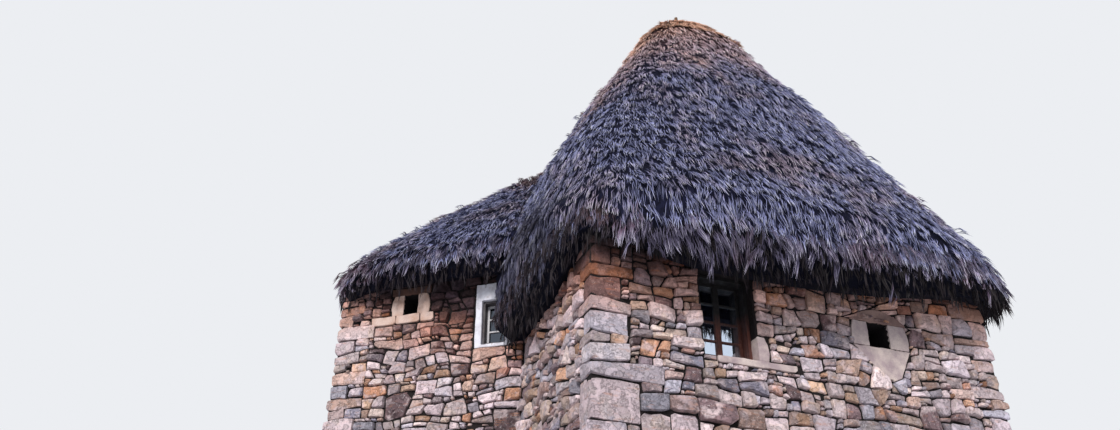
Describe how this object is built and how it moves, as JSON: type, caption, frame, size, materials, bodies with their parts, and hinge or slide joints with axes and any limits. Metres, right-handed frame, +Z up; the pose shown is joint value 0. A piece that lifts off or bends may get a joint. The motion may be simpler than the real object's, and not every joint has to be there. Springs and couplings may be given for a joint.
{
  "type": "thatched stone mountain hut",
  "caption": "Stone mountain hut with a squarish main block, a lower angled wing and one tall bell-shaped roof of broom thatch.",
  "frame": {"origin": "middle of the main block on the level of the ground, under the floor", "axes": "+X to the right along the front wall, +Y toward the back, +Z up"},
  "size_m": [9.8481, 8.9991, 10.17],
  "materials": {
    "rubble": "dry laid rubble of pink, ochre and grey stone",
    "floor_stone": "worn flags",
    "dressed_stone": "pale squared stone",
    "whitewash": "whitewashed stone",
    "window_timber": "reddish brown stained timber",
    "pane_glass": "plain clear panes",
    "roof_timber": "peeled poles and squared beams",
    "broom_thatch": "weathered grey brown broom",
    "bleached_thatch": "sun bleached broom"
  },
  "bodies": {
    "root": {"front_wall": "rubble", "right_side_wall": "rubble", "back_wall": "rubble", "wing_back_wall": "rubble", "wing_end_wall": "rubble", "wing_front_wall": "rubble", "left_side_wall": "rubble", "house_floor": "floor_stone", "main_window_sill": "dressed_stone", "main_window_lintel": "dressed_stone", "main_window_jamb_stone": "dressed_stone", "small_window_sill": "dressed_stone", "small_window_left_jamb": "dressed_stone", "small_window_right_jamb": "dressed_stone", "small_window_head": "dressed_stone", "wing_vent_sill": "dressed_stone", "wing_vent_jambs": "dressed_stone", "wing_vent_lintel": "dressed_stone", "door_surround": "dressed_stone", "wing_window_surround": "whitewash", "main_window_frame": "window_timber", "main_window_left_casement": "window_timber", "main_window_right_casement": "window_timber", "wing_window_frame": "window_timber", "wing_window_casement": "window_timber", "door_leaf": "window_timber", "main_window_glass": "pane_glass", "wing_window_glass": "pane_glass", "main_wall_plates": "roof_timber", "main_tie_beams": "roof_timber", "main_rafters": "roof_timber", "main_purlins": "roof_timber", "crown_collar": "roof_timber", "crown_struts": "roof_timber", "main_ridge_pole": "roof_timber", "wing_wall_plates": "roof_timber", "wing_rafters": "roof_timber", "wing_purlins": "roof_timber", "wing_ridge_pole": "roof_timber", "ridge_pegs": "roof_timber", "door_frame": "roof_timber", "main_thatch": "broom_thatch", "wing_thatch": "broom_thatch", "ridge_cap": "bleached_thatch"}
  },
  "joints": []
}
